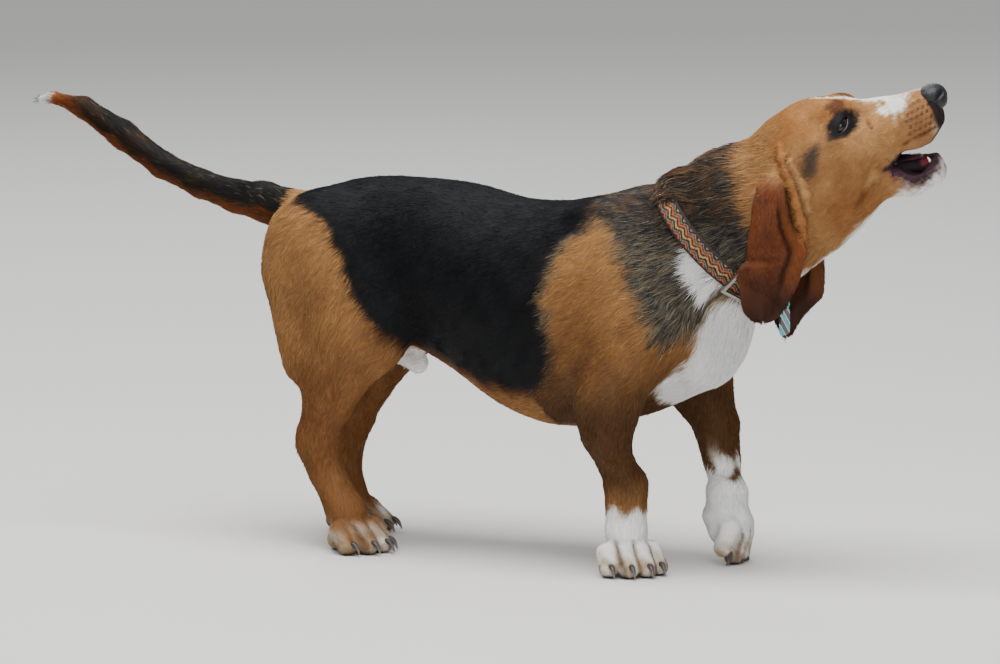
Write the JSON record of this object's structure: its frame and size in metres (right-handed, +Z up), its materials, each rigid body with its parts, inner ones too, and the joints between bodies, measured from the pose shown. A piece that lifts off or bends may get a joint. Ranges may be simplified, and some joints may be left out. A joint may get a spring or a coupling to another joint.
{
  "type": "dog",
  "caption": "Long-bodied, short-legged hound standing with its head raised and its mouth open, with hanging ears, a raised tail and a woven collar with a tag.",
  "frame": {"origin": "centre of the underside of the bounding box, on the floor", "axes": "+X to the front of the dog, +Y to its left side, +Z up"},
  "size_m": [0.9458, 0.219, 0.4617],
  "materials": {
    "coat_tan": "short coat",
    "coat_black": "short coat",
    "coat_white": "short coat",
    "coat_ear": "very short silky coat",
    "nose": "moist, fine grain",
    "tongue": "moist",
    "eye": "clear gloss",
    "collar_weave": "woven",
    "metal": "satin"
  },
  "bodies": {
    "root": {"forearm_right": "coat_tan", "forearm_left": "coat_tan", "forepaw_right": "coat_white", "forepaw_left": "coat_white", "thigh_right": "coat_tan", "thigh_left": "coat_tan", "shank_right": "coat_tan", "shank_left": "coat_tan", "hindpaw_right": "coat_white", "hindpaw_left": "coat_white", "torso": "coat_black", "neck": "coat_black", "tail_root": "coat_black", "tail_middle": "coat_black", "tail_tip": "coat_white", "head": "coat_tan", "lower_jaw": "coat_tan", "nose": "nose", "tongue": "tongue", "eye_right": "eye", "eye_left": "eye", "collar": "collar_weave", "collar_loop": "metal", "collar_tag": "metal", "ear_right": "coat_ear", "ear_left": "coat_ear"}
  },
  "joints": []
}
